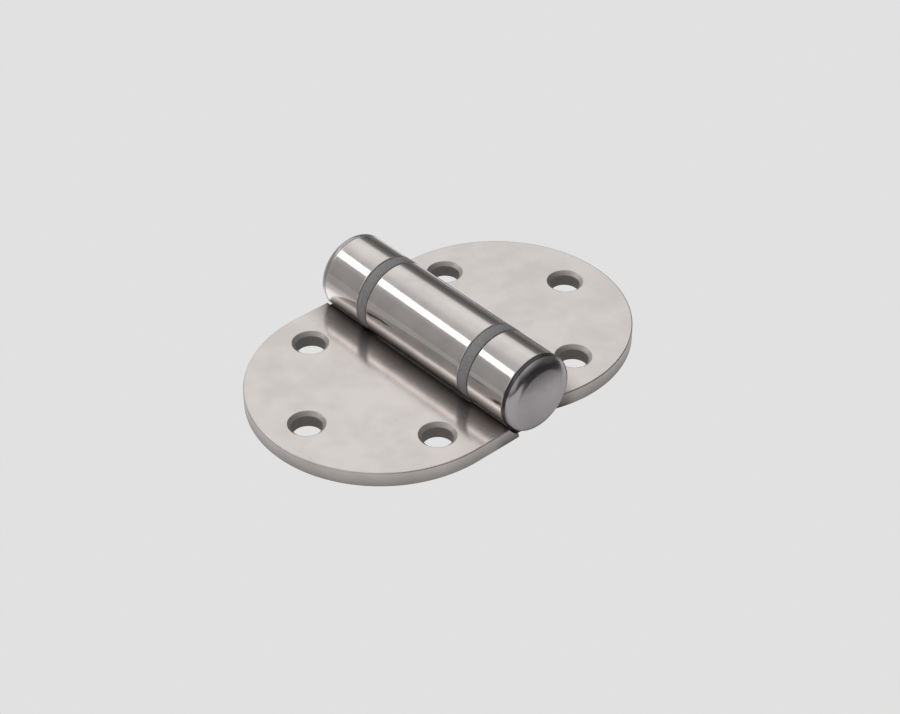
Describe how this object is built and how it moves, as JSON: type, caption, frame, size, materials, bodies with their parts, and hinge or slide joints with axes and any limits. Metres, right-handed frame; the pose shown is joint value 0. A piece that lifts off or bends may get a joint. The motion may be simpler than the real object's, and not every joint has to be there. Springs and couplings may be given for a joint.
{
  "type": "butt hinge",
  "caption": "Surface hinge with two D-shaped leaves drilled for screws, a thick knuckled barrel with flanged bushes, and rounded end caps, lying open flat.",
  "frame": {"origin": "middle of the barrel's lowest line, in the plane of the leaves' back faces", "axes": "+X along the pin, +Y across the barrel to the leaf with the middle knuckle, +Z out of the leaves' front faces"},
  "size_m": [0.052, 0.078, 0.015],
  "materials": {
    "leaf_steel": "polished satin stainless steel",
    "pin_steel": "ground stainless steel",
    "bush_plastic": "smooth grey bearing plastic",
    "cap_steel": "polished satin stainless steel"
  },
  "bodies": {
    "fixed_side": {"front_leaf": "leaf_steel", "hinge_pin": "pin_steel", "end_cap_left": "cap_steel", "end_cap_right": "cap_steel"},
    "swinging_side": {"back_leaf": "leaf_steel", "bush_left": "bush_plastic", "bush_right": "bush_plastic"}
  },
  "joints": [
    {"name": "leaf_swing", "type": "hinge", "parent": "fixed_side", "child": "swinging_side", "pos_m": [0, 0, 0.0075], "axis": [1, 0, 0], "range_deg": [0, 180]}
  ]
}
